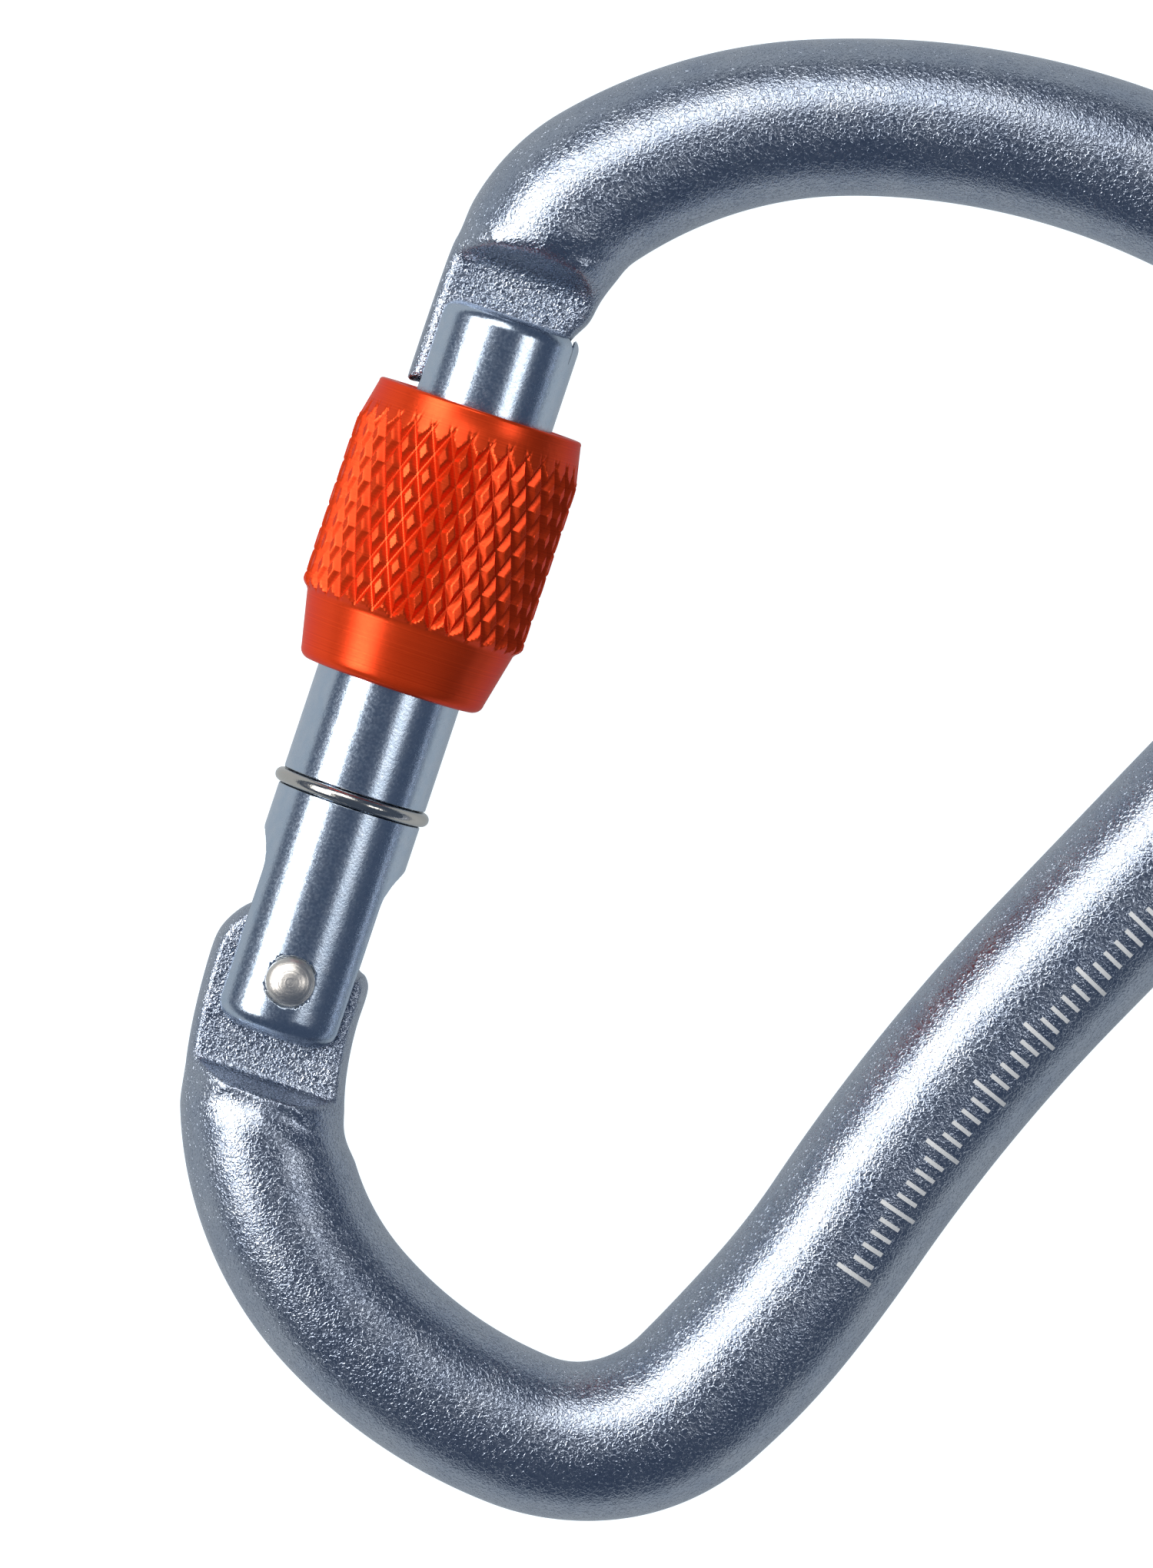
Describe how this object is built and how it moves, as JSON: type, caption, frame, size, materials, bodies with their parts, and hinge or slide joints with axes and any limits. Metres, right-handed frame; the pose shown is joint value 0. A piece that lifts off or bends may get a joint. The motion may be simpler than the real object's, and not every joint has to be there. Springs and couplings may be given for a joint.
{
  "type": "screw-lock carabiner",
  "caption": "Pear-shaped aluminium carabiner with a round bar, a sprung gate on a rivet and a knurled screw sleeve that locks the gate over the nose.",
  "frame": {"origin": "where a sling bears inside the narrow end, on the bar's inner surface, in the bar's middle plane", "axes": "+Y along the line of load, from the narrow end to the wide end; +Z square to the loop's plane; the gate is on the -X side"},
  "size_m": [0.0763, 0.1145, 0.0166],
  "materials": {
    "bar_anodised": "satin blue-grey anodising with fine grain",
    "gate_anodised": "smooth polished blue-grey anodising",
    "sleeve_anodised": "orange-red anodising, turned and knurled",
    "rivet_steel": "turned stainless steel",
    "spring_steel": "drawn stainless wire",
    "plunger_steel": "ground steel"
  },
  "bodies": {
    "frame": {"frame_bar": "bar_anodised"},
    "gate": {"gate": "gate_anodised", "hinge_rivet": "rivet_steel", "gate_spring": "spring_steel"},
    "plunger": {"spring_plunger": "plunger_steel"},
    "ring": {"stop_ring": "spring_steel"},
    "sleeve": {"locking_sleeve": "sleeve_anodised"}
  },
  "joints": [
    {"name": "gate_swing", "type": "hinge", "parent": "frame", "child": "gate", "pos_m": [-0.02389, 0.01137, 0], "axis": [0, 0, -1], "range_deg": [0, 27], "stiffness_Nm_per_rad": 0.15, "springref_deg": -85.94, "deforming": ["gate_spring"]},
    {"name": "plunger_travel", "type": "slide", "parent": "gate", "child": "plunger", "axis": [-0.3223, 0.9466, 0], "range_m": [0, 0.00104]},
    {"name": "sleeve_spin", "type": "hinge", "parent": "gate", "child": "ring", "pos_m": [-0.02389, 0.01137, 0], "axis": [-0.3223, 0.9466, 0], "range_deg": [-711, 396]},
    {"name": "sleeve_travel", "type": "slide", "parent": "ring", "child": "sleeve", "axis": [-0.3223, 0.9466, 0], "range_m": [-0.00791, 0.00441]}
  ],
  "couplings": [
    {"joint": "plunger_travel", "follows": "gate_swing", "m_per_rad": 0.0022},
    {"joint": "sleeve_travel", "follows": "sleeve_spin", "m_per_rad": 0.00063662}
  ]
}
